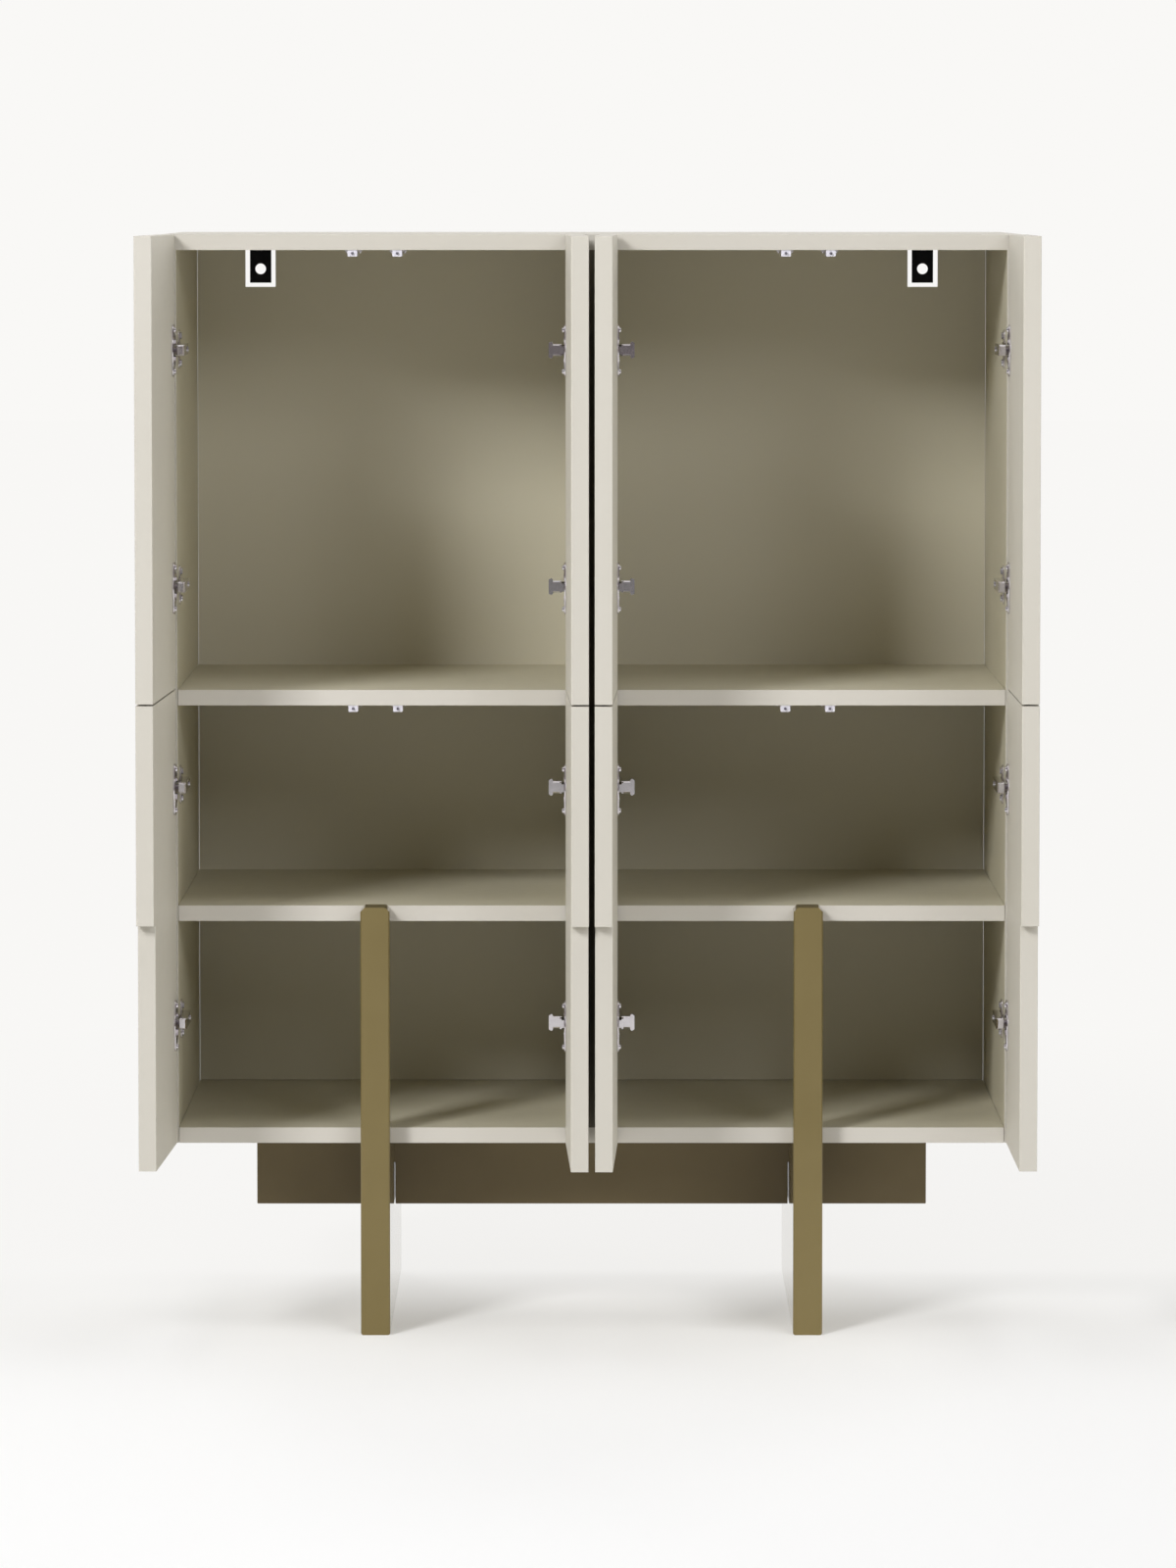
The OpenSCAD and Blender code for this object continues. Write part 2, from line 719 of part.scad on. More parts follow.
// Cross-shaped mounting plate with the rib that the arm's channel sits over
module mounting_plate(kind) {
    face = kind == OUTER ? side_t : part_x - middle_gap / 2;
    rise = kind == OUTER ? outer_arm_rise : inner_arm_rise;
    arm_half = kind == OUTER ? outer_arm_h / 2 : inner_arm_half;
    rib_half = arm_half - arm_wall - rib_gap;
    rib_x = face + rise - arm_web - rib_gap;
    screw_y = door_gap + plate_setback;
    difference() {
        union() {
            box(face, face + plate_t, plate_y0, plate_y0 + plate_l, -plate_half, plate_half);
            box(face, face + plate_t, screw_y - wing_l / 2, screw_y + wing_l / 2,
                -wing_half + wing_l / 2, wing_half - wing_l / 2);
            for (sz = [-1, 1])
                rod([face, screw_y, sz * (wing_half - wing_l / 2)], "x", plate_t, wing_l / 2);
            box(face, rib_x, plate_y0 + rib_inset, plate_y0 + plate_l - rib_inset,
                -rib_half, rib_half);
        }
        for (dz = [-1, 1] * plate_screw_pitch / 2)
            rod([face - 1, screw_y, dz], "x", plate_t + 2, plate_screw_r + fit);
        rod([rib_x - arm_screw_l, arm_end_y - arm_screw_back, 0], "x", arm_screw_l + 1,
            plate_screw_r + fit);
    }
}

module hinge_plates(kind) {
    color(NICKEL) for (side = [-1, 1]) column_frame(side, kind)
        for (z = all_hinge_heights) translate([0, 0, z]) mounting_plate(kind);
}

module hinge_plate_screws() {
    color(NICKEL) for (side = [-1, 1]) for (kind = [OUTER, INNER])
        column_frame(side, kind) plate_screw_set(kind, plate_screw_r, true);
}

module hinge_arm_screws() {
    color(NICKEL) for (side = [-1, 1]) for (kind = [OUTER, INNER]) {
        face = kind == OUTER ? side_t : part_x - middle_gap / 2;
        web_x = face + (kind == OUTER ? outer_arm_rise : inner_arm_rise);
        start = web_x - arm_web - rib_gap - arm_screw_l + arm_screw_gap;
        column_frame(side, kind) for (z = all_hinge_heights) {
            rod([start, arm_end_y - arm_screw_back, z], "x", web_x - start, plate_screw_r);
            rod([web_x, arm_end_y - arm_screw_back, z], "x", arm_screw_head, arm_screw_head_r);
        }
    }
}

// Catches

module catch_housings() {
    color(PALE_GREY) for (level = [UPPER, LOWER]) for (x = catch_places())
        translate([x, front_y + catch_back, catch_z(level)]) difference() {
            union() {
                rotate([-90, 0, 0]) linear_extrude(height = catch_l) catch_outline();
                box(-ear_w / 2, ear_w / 2, ear_y, ear_y + ear_l, -ear_t, 0);
            }
            rod([0, -1, -catch_h / 2], "y", plunger_l + plunger_push + 1,
                plunger_d / 2 + slide_fit);
            for (dx = [-1, 1] * ear_screw_x)
                rod([dx, ear_y + ear_l / 2, -ear_t - 1], "z", ear_t + 2, ear_screw_r + fit);
        }
}

// Front view of a catch, hanging from the board above it
module catch_outline() {
    r = catch_round;
    for (sx = [-1, 1]) translate([sx * (catch_w / 2 - r), catch_h - r]) circle(r);
    translate([-catch_w / 2, 0]) square([catch_w, catch_h - r]);
    translate([-catch_w / 2 + r, 0]) square([catch_w - 2 * r, catch_h]);
}

module catch_screws() {
    color(DARK_GREY) catch_screw_set(0, true);
}

module plunger(side, kind, level) {
    x = side * (joint_x + (kind == OUTER ? catch_offset : -catch_offset));
    tip_y = front_y - door_gap + tip_gap;
    nose = plunger_nose;
    color(DARK_GREY) translate([x, tip_y, catch_z(level) - catch_h / 2]) rotate([-90, 0, 0]) {
        cylinder(r1 = plunger_d / 2 - nose, r2 = plunger_d / 2, h = nose);
        translate([0, 0, nose]) cylinder(r = plunger_d / 2, h = plunger_l - nose);
    }
}

// Doors

// Plan of a closed door, with its inner hinge edge rounder than the others
module door_plan(width) {
    radii = [hinge_edge_r, door_edge_r, door_edge_r, door_edge_r];
    corners = [[0, 0, 1, -1], [0, -door_t, 1, 1], [width, -door_t, -1, 1], [width, 0, -1, -1]];
    difference() {
        translate([0, -door_t]) square([width, door_t]);
        for (i = [0 : 3]) {
            c = corners[i];
            r = radii[i];
            translate([c[0], c[1]]) difference() {
                translate([c[2] > 0 ? -1 : -r, c[3] > 0 ? -1 : -r]) square([r + 1, r + 1]);
                translate([c[2] * r, c[3] * r]) circle(r);
            }
        }
    }
}

// A closed door at its true height, with the cut-out for the leg on a lower one
module door_leaf(kind, level) {
    z0 = door_z0(level);
    z1 = door_z1(level);
    notch_z = leg_top + row_gap;
    notch_w = leg_t / 2 + notch_gap - column_gap / 2;
    difference() {
        union() {
            if (level == LOWER) {
                translate([0, 0, z0]) linear_extrude(height = notch_z - z0)
                    door_plan(leaf_w - notch_w);
                translate([0, 0, notch_z]) linear_extrude(height = z1 - notch_z)
                    door_plan(leaf_w);
            } else {
                translate([0, 0, z0]) linear_extrude(height = z1 - z0) door_plan(leaf_w);
            }
        }
        at_hinges(level) cup_recess();
    }
}

module door(side, kind, level, angle) {
    color(LACQUER) column_frame(side, kind) swung(kind, angle) door_leaf(kind, level);
}

module cups(side, kind, level, angle) {
    color(NICKEL) column_frame(side, kind) swung(kind, angle) at_hinges(level) {
        hinge_cup(kind);
        cup_screws();
    }
}

side_panel(-1);  // side_panel_left
side_panel(1);  // side_panel_right
top_panel();
bottom_panel();
centre_partition();
back_panel(-1);  // back_panel_left
back_panel(1);  // back_panel_right
shelf(-1, upper_shelf_z);  // upper_shelf_left
shelf(1, upper_shelf_z);  // upper_shelf_right
shelf(-1, middle_shelf_z);  // middle_shelf_left
shelf(1, middle_shelf_z);  // middle_shelf_right
carcass_dowels();
leg(-1);  // leg_left
leg(1);  // leg_right
cross_beam();
leg_studs();
wall_bracket(-1);  // wall_bracket_left
wall_bracket(1);  // wall_bracket_right
wall_bracket_screws();
hinge_arms(-1, OUTER);  // hinge_arms_left_outer
hinge_arms(-1, INNER);  // hinge_arms_left_inner
hinge_arms(1, INNER);  // hinge_arms_right_inner
hinge_arms(1, OUTER);  // hinge_arms_right_outer
hinge_plates(OUTER);  // hinge_plates_outer
hinge_plates(INNER);  // hinge_plates_inner
hinge_plate_screws();
hinge_arm_screws();
catch_housings();
catch_screws();

door(-1, OUTER, UPPER, rest_left_outer);  // door_upper_left_outer
door(-1, INNER, UPPER, rest_left_inner);  // door_upper_left_inner
door(1, INNER, UPPER, rest_right_inner);  // door_upper_right_inner
door(1, OUTER, UPPER, rest_right_outer);  // door_upper_right_outer
door(-1, OUTER, LOWER, rest_left_outer);  // door_lower_left_outer
door(-1, INNER, LOWER, rest_left_inner);  // door_lower_left_inner
door(1, INNER, LOWER, rest_right_inner);  // door_lower_right_inner
door(1, OUTER, LOWER, rest_right_outer);  // door_lower_right_outer

cups(-1, OUTER, UPPER, rest_left_outer);  // cups_upper_left_outer
cups(-1, INNER, UPPER, rest_left_inner);  // cups_upper_left_inner
cups(1, INNER, UPPER, rest_right_inner);  // cups_upper_right_inner
cups(1, OUTER, UPPER, rest_right_outer);  // cups_upper_right_outer
cups(-1, OUTER, LOWER, rest_left_outer);  // cups_lower_left_outer
cups(-1, INNER, LOWER, rest_left_inner);  // cups_lower_left_inner
cups(1, INNER, LOWER, rest_right_inner);  // cups_lower_right_inner
cups(1, OUTER, LOWER, rest_right_outer);  // cups_lower_right_outer

plunger(-1, OUTER, UPPER);  // plunger_upper_left_outer
plunger(-1, INNER, UPPER);  // plunger_upper_left_inner
plunger(1, INNER, UPPER);  // plunger_upper_right_inner
plunger(1, OUTER, UPPER);  // plunger_upper_right_outer
plunger(-1, OUTER, LOWER);  // plunger_lower_left_outer
plunger(-1, INNER, LOWER);  // plunger_lower_left_inner
plunger(1, INNER, LOWER);  // plunger_lower_right_inner
plunger(1, OUTER, LOWER);  // plunger_lower_right_outer
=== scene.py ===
import json
import math

import bmesh
import bpy
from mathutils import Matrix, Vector

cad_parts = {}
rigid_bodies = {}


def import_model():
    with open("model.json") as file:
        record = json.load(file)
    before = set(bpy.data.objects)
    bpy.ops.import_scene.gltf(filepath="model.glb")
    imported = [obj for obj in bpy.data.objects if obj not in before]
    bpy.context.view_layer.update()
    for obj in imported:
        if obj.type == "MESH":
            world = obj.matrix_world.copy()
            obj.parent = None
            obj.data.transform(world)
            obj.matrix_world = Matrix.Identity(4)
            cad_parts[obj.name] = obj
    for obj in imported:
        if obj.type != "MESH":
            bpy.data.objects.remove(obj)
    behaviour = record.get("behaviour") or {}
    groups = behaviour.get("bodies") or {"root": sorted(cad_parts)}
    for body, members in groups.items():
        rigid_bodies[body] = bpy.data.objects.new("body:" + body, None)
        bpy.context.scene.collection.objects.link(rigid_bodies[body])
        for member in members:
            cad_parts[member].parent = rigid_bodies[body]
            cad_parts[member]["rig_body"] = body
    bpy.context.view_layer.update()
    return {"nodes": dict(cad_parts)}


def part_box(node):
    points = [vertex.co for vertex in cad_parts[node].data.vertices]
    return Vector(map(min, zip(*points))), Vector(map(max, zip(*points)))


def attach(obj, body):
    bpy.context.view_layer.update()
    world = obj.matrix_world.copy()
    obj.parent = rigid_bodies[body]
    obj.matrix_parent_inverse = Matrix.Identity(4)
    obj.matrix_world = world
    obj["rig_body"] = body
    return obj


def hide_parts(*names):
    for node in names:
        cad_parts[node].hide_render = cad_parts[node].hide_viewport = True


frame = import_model()

scene = bpy.context.scene
nodes = frame["nodes"]

PHOTO_H = 1600


# Node helpers

def new_material(name):
    material = bpy.data.materials.new(name)
    material.use_nodes = True
    tree = material.node_tree
    tree.nodes.clear()
    out = tree.nodes.new("ShaderNodeOutputMaterial")
    shader = tree.nodes.new("ShaderNodeBsdfPrincipled")
    tree.links.new(shader.outputs[0], out.inputs["Surface"])
    return material, tree, shader


def linear(rgb):
    """A colour that is written as 0 to 255, as Blender's linear values."""
    def one(c):
        c = c / 255
        return c / 12.92 if c <= 0.04045 else ((c + 0.055) / 1.055) ** 2.4
    return tuple(one(c) for c in rgb) + (1.0,)


def noise(tree, scale, detail=3.0, rough=0.5, stretch=(1, 1, 1)):
    """Noise in the object's own metres."""
    place = tree.nodes.new("ShaderNodeTexCoord")
    mapping = tree.nodes.new("ShaderNodeMapping")
    mapping.inputs["Scale"].default_value = stretch
    texture = tree.nodes.new("ShaderNodeTexNoise")
    texture.inputs["Scale"].default_value = scale
    texture.inputs["Detail"].default_value = detail
    texture.inputs["Roughness"].default_value = rough
    tree.links.new(place.outputs["Object"], mapping.inputs["Vector"])
    tree.links.new(mapping.outputs[0], texture.inputs["Vector"])
    return texture.outputs["Fac"]


def ramp(tree, value, low, high, a, b):
    node = tree.nodes.new("ShaderNodeMapRange")
    node.inputs["From Min"].default_value = low
    node.inputs["From Max"].default_value = high
    node.inputs["To Min"].default_value = a
    node.inputs["To Max"].default_value = b
    tree.links.new(value, node.inputs["Value"])
    return node.outputs["Result"]


def cloudy(tree, value, a, b):
    """From a to b over the range that most of a noise lies in."""
    return ramp(tree, value, 0.3, 0.7, a, b)


def times(tree, a, b):
    node = tree.nodes.new("ShaderNodeMath")
    node.operation = "MULTIPLY"
    tree.links.new(a, node.inputs[0])
    tree.links.new(b, node.inputs[1])
    return node.outputs[0]


def two_colours(tree, value, a, b):
    node = tree.nodes.new("ShaderNodeMix")
    node.data_type = "RGBA"
    node.inputs["A"].default_value = linear(a)
    node.inputs["B"].default_value = linear(b)
    tree.links.new(value, node.inputs["Factor"])
    return node.outputs["Result"]


def bump(tree, shader, value, distance, strength=1.0):
    node = tree.nodes.new("ShaderNodeBump")
    node.inputs["Distance"].default_value = distance
    node.inputs["Strength"].default_value = strength
    tree.links.new(value, node.inputs["Height"])
    tree.links.new(node.outputs[0], shader.inputs["Normal"])


# Materials

def coordinate(tree, kind, axis):
    place = tree.nodes.new("ShaderNodeTexCoord")
    parts = tree.nodes.new("ShaderNodeSeparateXYZ")
    tree.links.new(place.outputs[kind], parts.inputs[0])
    return parts.outputs[axis]


def behind_front(node):
    """A mask for all of a node but the skin of its front face."""
    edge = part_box(node)[0][1] + EDGE_SKIN
    return lambda tree: ramp(tree, coordinate(tree, "Object", "Y"),
                             edge, edge + MASK_BLEND, 0, 1)


def facing(sign):
    """A mask for the faces that look along X to that side."""
    return lambda tree: ramp(tree, coordinate(tree, "Normal", "X"), 0.5 * sign, 0.6 * sign, 0, 1)


def lacquer(name, plain, masked=None, mask=None):
    """Matt lacquer: an even tone with faint clouding and a fine spray texture. With a mask, part
    of it takes a second tone, and in this script one of the two tones is painted shade, painted
    light or a painted bounce-light tint.
    """
    material, tree, shader = new_material(name)
    cloud = cloudy(tree, noise(tree, 2.2, 3), 0, 1)
    colour = two_colours(tree, cloud, *plain)
    if mask:
        split = tree.nodes.new("ShaderNodeMix")
        split.data_type = "RGBA"
        tree.links.new(mask(tree), split.inputs["Factor"])
        tree.links.new(colour, split.inputs["A"])
        tree.links.new(two_colours(tree, cloud, *masked), split.inputs["B"])
        colour = split.outputs["Result"]
    tree.links.new(colour, shader.inputs["Base Color"])
    tree.links.new(cloudy(tree, noise(tree, 60, 2), 0.5, 0.56),
                   shader.inputs["Roughness"])
    shader.inputs["Specular IOR Level"].default_value = 0.7
    bump(tree, shader, noise(tree, 700, 2), 0.00004, 0.5)
    return material


def bronze(name, a, b, metallic, rough, coat):
    """Bronze paint: fine metal flakes under a thin gloss coat."""
    material, tree, shader = new_material(name)
    cloud = cloudy(tree, noise(tree, 5, 4, 0.6), 0, 1)
    tree.links.new(two_colours(tree, cloud, a, b), shader.inputs["Base Color"])
    shader.inputs["Metallic"].default_value = metallic
    tree.links.new(cloudy(tree, noise(tree, 900, 2), rough - 0.04, rough + 0.05),
                   shader.inputs["Roughness"])
    shader.inputs["Specular IOR Level"].default_value = 0.25
    shader.inputs["Coat Weight"].default_value = coat
    shader.inputs["Coat Roughness"].default_value = 0.05
    shader.inputs["Coat IOR"].default_value = 1.3
    bump(tree, shader, noise(tree, 1600, 2), 0.00003, 0.35)
    return material


def metal(name, a, b, rough, stretch=(1, 1, 1)):
    """Plated metal with a fine drawn grain."""
    material, tree, shader = new_material(name)
    cloud = cloudy(tree, noise(tree, 60, 3), 0, 1)
    tree.links.new(two_colours(tree, cloud, a, b), shader.inputs["Base Color"])
    shader.inputs["Metallic"].default_value = 1.0
    tree.links.new(cloudy(tree, noise(tree, 900, 3, 0.6, stretch),
                          rough - 0.05, rough + 0.07), shader.inputs["Roughness"])
    bump(tree, shader, noise(tree, 1500, 2, 0.5, stretch), 0.00003, 0.3)
    return material


def plastic(name, a, b, rough):
    material, tree, shader = new_material(name)
    cloud = cloudy(tree, noise(tree, 90, 3), 0, 1)
    tree.links.new(two_colours(tree, cloud, a, b), shader.inputs["Base Color"])
    tree.links.new(cloudy(tree, noise(tree, 500, 2), rough - 0.05, rough + 0.05),
                   shader.inputs["Roughness"])
    bump(tree, shader, noise(tree, 2500, 2), 0.00004, 0.5)
    return material


def beech():
    material, tree, shader = new_material("beech")
    grain = cloudy(tree, noise(tree, 90, 5, 0.6, (0.12, 1, 1)), 0, 1)
    tree.links.new(two_colours(tree, grain, (196, 158, 108), (216, 184, 138)),
                   shader.inputs["Base Color"])
    shader.inputs["Roughness"].default_value = 0.6
    bump(tree, shader, grain, 0.0001, 0.4)
    return material


GREIGE = (185, 179, 162), (189, 183, 167)
# painted light: a warmer, yellower greige on the inside faces, standing in for the tinted light
# bounced about the compartments
PAINTED_BOUNCE_GREIGE = (189, 182, 155), (193, 186, 160)
# painted light: shelf and bottom fronts a tone lighter, for the light that the open doors keep off
# them
PAINTED_LIGHT_SHELF_GREIGE = (192, 186, 170), (196, 190, 175)
# painted light: the doors' inside faces a tone lighter, for light and sheen that the lamps don't
# give them
PAINTED_LIGHT_DOOR_GREIGE = (203, 197, 179), (207, 201, 184)
SHADOW_EDGE = (80, 73, 54), (86, 79, 60)      # stands in for shade in the middle gap
EDGE_SKIN = 0.001        # how deep the painted tone of a front face goes
MASK_BLEND = 0.0002      # over how much depth it gives way to the next


LACQUER = lacquer("matt_lacquer", GREIGE)
# painted shade on the partition's front edge, with the painted bounce-light tint behind it
PARTITION = lacquer("partition_lacquer_painted_shade", SHADOW_EDGE, PAINTED_BOUNCE_GREIGE,
                    behind_front("centre_partition"))
# the back panel's front face takes the painted bounce-light tint
BACK = lacquer("back_lacquer_painted_bounce", PAINTED_BOUNCE_GREIGE, GREIGE, behind_front("back_panel_left"))
# shelf fronts take the painted-light tone, and their tops and undersides take the painted
# bounce-light tint
SHELF = lacquer("shelf_lacquer_painted_light", PAINTED_LIGHT_SHELF_GREIGE, PAINTED_BOUNCE_GREIGE,
                behind_front("upper_shelf_left"))
# the side panels' inside faces take the painted bounce-light tint
SIDE_LEFT = lacquer("side_lacquer_left_painted_bounce", GREIGE, PAINTED_BOUNCE_GREIGE, facing(1))
SIDE_RIGHT = lacquer("side_lacquer_right_painted_bounce", GREIGE, PAINTED_BOUNCE_GREIGE, facing(-1))
# the doors' inside faces take the painted-light tone
DOOR_TO_RIGHT = lacquer("door_lacquer_right_painted_light", GREIGE, PAINTED_LIGHT_DOOR_GREIGE, facing(1))
DOOR_TO_LEFT = lacquer("door_lacquer_left_painted_light", GREIGE, PAINTED_LIGHT_DOOR_GREIGE, facing(-1))
BRONZE = bronze("bronze_paint", (116, 101, 58), (123, 108, 65), 0.35, 0.4, 1.0)
DARK_BRONZE = bronze("dark_bronze_paint", (99, 86, 57), (106, 93, 64), 0.35, 0.45, 0.5)
NICKEL = metal("nickel_plate", (206, 202, 205), (220, 216, 219), 0.13)
STEEL = metal("zinc_screw", (196, 194, 198), (214, 212, 216), 0.26)
BLACK = metal("black_steel", (26, 26, 27), (34, 34, 36), 0.45)
PALE_PLASTIC = plastic("pale_plastic", (208, 204, 206), (216, 212, 214), 0.38)
DARK_PLASTIC = plastic("grey_plastic", (92, 88, 94), (104, 100, 106), 0.42)
BEECH = beech()

BY_START = [
    ("carcass_dowels", BEECH), ("leg_studs", STEEL), ("leg_", BRONZE), ("cross_beam", DARK_BRONZE),
    ("wall_bracket", BLACK), ("hinge_plate_screws", STEEL), ("hinge_arm_screws", STEEL),
    ("hinge_", NICKEL), ("cups_", NICKEL), ("catch_housings", PALE_PLASTIC),
    ("catch_screws", STEEL), ("plunger_", DARK_PLASTIC), ("centre_partition", PARTITION),
    ("back_panel", BACK), ("upper_shelf", SHELF), ("middle_shelf", SHELF), ("bottom_panel", SHELF),
    ("side_panel_left", SIDE_LEFT), ("side_panel_right", SIDE_RIGHT),
    ("door_upper_left_outer", DOOR_TO_RIGHT),
    ("door_lower_left_outer", DOOR_TO_RIGHT), ("door_upper_right_inner", DOOR_TO_RIGHT),
    ("door_lower_right_inner", DOOR_TO_RIGHT), ("door_", DOOR_TO_LEFT), ("", LACQUER),
]


def material_of(node):
    return next(m for start, m in BY_START if node.startswith(start))


for name, obj in nodes.items():
    for index in range(len(obj.material_slots)):
        obj.material_slots[index].material = material_of(name)
    if not obj.material_slots:
        obj.data.materials.append(material_of(name))


# Softened edges

WELD = 1e-6                                                  # corners this near are one
CROSS_REACH, CROSS_HALF, CROSS_DEPTH = 0.58, 0.13, 0.3       # of the head's radius
CROSS_FOOT = 0.75                                            # its size at the bottom
HEAD_RANGE = 0.85, 1.15                                      # a solid this wide has a head


def islands(mesh):
    """The corners of each separate solid of a mesh."""
    bm = bmesh.new()
    bm.from_mesh(mesh)
    bmesh.ops.remove_doubles(bm, verts=bm.verts, dist=WELD)
    left = set(bm.verts)
    found = []
    while left:
        reached, edge = {left.pop()}, []
        edge.extend(reached)
        while edge:
            for link in edge.pop().link_edges:
                for vert in link.verts:
                    if vert in left:
                        left.remove(vert)
                        reached.add(vert)
                        edge.append(vert)
        found.append([vert.co.copy() for vert in reached])
    bm.free()
    return sorted(found, key=lambda solid: tuple(min(c[k] for c in solid) for k in range(3)))


def cross_cutter(node, head, axis):
    """One mesh with a cross for the driver in the head of each screw of the node."""
    axis = Vector(axis)
    side = Vector((0, 1, 0))
    up = axis.cross(side)
    reach, half = CROSS_REACH * head, CROSS_HALF * head
    outline = [(half, half), (half, reach), (-half, reach), (-half, half),
               (-reach, half), (-reach, -half), (-half, -half), (-half, -reach),
               (half, -reach), (half, -half), (reach, -half), (reach, half)]
    verts, faces = [], []
    for solid in islands(nodes[node].data):
        middle = sum(solid, Vector()) / len(solid)
        along = [(c - middle).dot(axis) for c in solid]
        off = [((c - middle) - t * axis).length for c, t in zip(solid, along)]
        widest = max(off)
        if not HEAD_RANGE[0] * head < widest < HEAD_RANGE[1] * head:
            continue
        way = 1 if along[off.index(widest)] > 0 else -1
        face = max(way * t for t in along)
        first = len(verts)
        for level, spread in ((face + head, 1.0), (face - CROSS_DEPTH * head, CROSS_FOOT)):
            for a, b in outline:
                verts.append(middle + way * level * axis + spread * (a * side + b * way * up))
        count = len(outline)
        faces.append(tuple(range(first + count - 1, first - 1, -1)))
        faces.append(tuple(range(first + count, first + 2 * count)))
        for k in range(count):
            n = (k + 1) % count
            faces.append((first + k, first + n, first + count + n, first + count + k))
    mesh = bpy.data.meshes.new(node + "_cross")
    mesh.from_pydata(verts, [], faces)
    bm = bmesh.new()
    bm.from_mesh(mesh)
    bmesh.ops.recalc_face_normals(bm, faces=bm.faces)
    bm.to_mesh(mesh)
    bm.free()
    cutter = bpy.data.objects.new(node + "_cross", mesh)
    scene.collection.objects.link(cutter)
    return cutter


def softened(node, width, segments=2, angle=32, cutter=None):
    """A copy of a CAD node with its sharp edges rounded, which stands for the node."""
    source = nodes[node]
    mesh = source.data.copy()
    obj = bpy.data.objects.new(node + "_soft", mesh)
    scene.collection.objects.link(obj)
    bm = bmesh.new()
    bm.from_mesh(mesh)
    bmesh.ops.remove_doubles(bm, verts=bm.verts, dist=WELD)
    bmesh.ops.dissolve_limit(bm, angle_limit=math.radians(1), verts=bm.verts, edges=bm.edges)
    for face in bm.faces:
        face.smooth = True
    bm.to_mesh(mesh)
    bm.free()
    mod = obj.modifiers.new("edges", "BEVEL")
    mod.width = width
    mod.segments = segments
    mod.limit_method = "ANGLE"
    mod.angle_limit = math.radians(angle)
    mod.use_clamp_overlap = True
    if cutter:
        cut = obj.modifiers.new("cross", "BOOLEAN")
        cut.operation = "DIFFERENCE"
        cut.solver = "EXACT"
        cut.object = cutter
    else:
        even = obj.modifiers.new("normals", "WEIGHTED_NORMAL")
        even.weight = 100
    bpy.context.view_layer.update()
    graph = bpy.context.evaluated_depsgraph_get()
    done = bpy.data.meshes.new_from_object(obj.evaluated_get(graph))
    if cutter:
        done.set_sharp_from_angle(angle=math.radians(angle))
        bpy.data.objects.remove(cutter)
    obj.modifiers.clear()
    obj.data = done
    done.materials.clear()
    done.materials.append(material_of(node))
    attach(obj, source["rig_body"])
    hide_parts(node)
    return obj


# The start of the nodes' names, and how wide their edges are rounded
EDGES = [
    ("door_", 0.0007), ("side_panel", 0.0006), ("top_panel", 0.0006), ("bottom_panel", 0.0006),
    ("upper_shelf", 0.0006), ("middle_shelf", 0.0006), ("centre_partition", 0.0005),
    ("back_panel", 0.0004), ("leg_left", 0.0008), ("leg_right", 0.0008), ("cross_beam", 0.001),
    ("wall_bracket_left", 0.0003), ("wall_bracket_right", 0.0003),
    ("hinge_arms", 0.0003), ("hinge_plates", 0.0004), ("catch_housings", 0.0003),
]
# The same, with the radius of the head and the axis of the screws
SCREWS = [
    ("hinge_plate_screws", 0.0002, 0.004, (1, 0, 0)),
    ("hinge_arm_screws", 0.0002, 0.0034, (1, 0, 0)),
    ("catch_screws", 0.0001, 0.0019, (0, 0, 1)), ("wall_bracket_screws", 0.0002, 0.004, (0, 0, 1)),
    ("cups_", 0.00025, 0.0033, (1, 0, 0)),
]
for start, width in EDGES:
    for name in sorted(nodes):
        if name.startswith(start):
            softened(name, width)
for start, width, head, axis in SCREWS:
    for name in sorted(nodes):
        if name.startswith(start):
            softened(name, width, cutter=cross_cutter(name, head, axis))


# Studio

BACKDROP = linear((249, 248, 246))
FLOOR_ALBEDO = 0.45      # for the light that the floor throws back
FLOOR_LIGHT = 0.5        # the glow of the bright studio floor on the object
SEEN_ALBEDO = (0.935, 0.915, 0.835)      # what is seen of it, neutral under the tinted lamps
FLOOR_GLOW = 0.94        # its own light where it is seen, next to the backdrop's
FLOOR_SIZE = 60
SHADOW_FRONT, SHADOW_BACK = 0.75, 0.12   # how much of its real shading is seen
SHADOW_FROM, SHADOW_TO = -0.05, 0.35     # where the one gives way to the other
FLOOR_NEAR, FLOOR_FAR = 1.3, 2.8         # how far from the object the shading fades out
ROOM_NEAR, ROOM_FAR = -2.5, -11          # where the floor that metal mirrors turns dark
ROOM_SHARE = 0.2         # of the floor's light that is left there
ROOM_COLOUR = (0.17, 0.145, 0.15, 1)
ROOM_FROM, ROOM_TO = -0.75, -0.35        # how far towards the front the dim room reaches
WHITE = (1, 1, 1, 1)


def seen_rays(tree, *kinds):
    """1 for the rays that show the backdrop, and 0 for those that light the object."""
    path = tree.nodes.new("ShaderNodeLightPath")
    value = path.outputs[kinds[0]]
    for kind in kinds[1:]:
        node = tree.nodes.new("ShaderNodeMath")
        node.operation = "MAXIMUM"
        tree.links.new(value, node.inputs[0])
        tree.links.new(path.outputs[kind], node.inputs[1])
        value = node.outputs[0]
    return value


